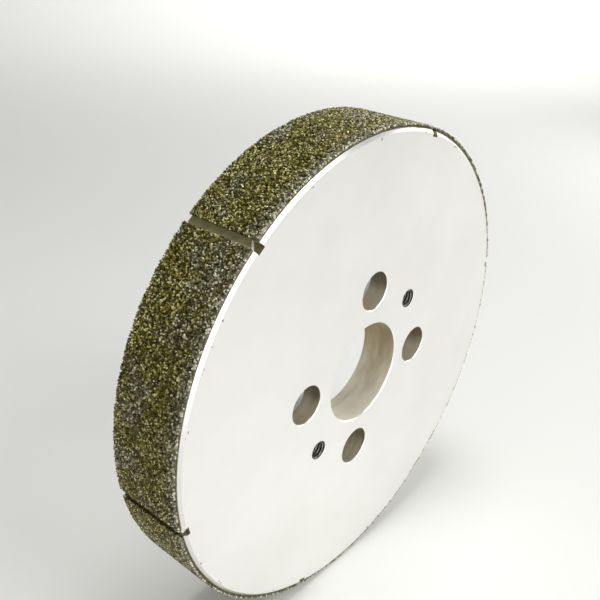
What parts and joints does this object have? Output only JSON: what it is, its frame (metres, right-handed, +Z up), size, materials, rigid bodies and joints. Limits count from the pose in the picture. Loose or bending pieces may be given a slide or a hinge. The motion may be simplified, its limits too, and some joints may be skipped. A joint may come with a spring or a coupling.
{
  "type": "diamond grinding wheel",
  "caption": "Flanged diamond grinding wheel: steel core with a bore and bolt circle, plated diamond grit lands on the rim with narrow slots between them.",
  "frame": {"origin": "centre of the wheel: on the bore's axis, half way across the rim", "axes": "+Y along the bore from the flat mounting face to the recessed back, +Z up through one bolt hole"},
  "size_m": [0.15, 0.024, 0.15],
  "materials": {
    "core_steel": "satin",
    "nickel_bond": "satin",
    "diamond_grit": "gloss"
  },
  "bodies": {
    "root": {"core": "core_steel", "nickel_bond_1": "nickel_bond", "nickel_bond_2": "nickel_bond", "nickel_bond_3": "nickel_bond", "nickel_bond_4": "nickel_bond", "nickel_bond_5": "nickel_bond", "nickel_bond_6": "nickel_bond", "diamond_grit_1": "diamond_grit", "diamond_grit_2": "diamond_grit", "diamond_grit_3": "diamond_grit", "diamond_grit_4": "diamond_grit", "diamond_grit_5": "diamond_grit", "diamond_grit_6": "diamond_grit"}
  },
  "joints": []
}
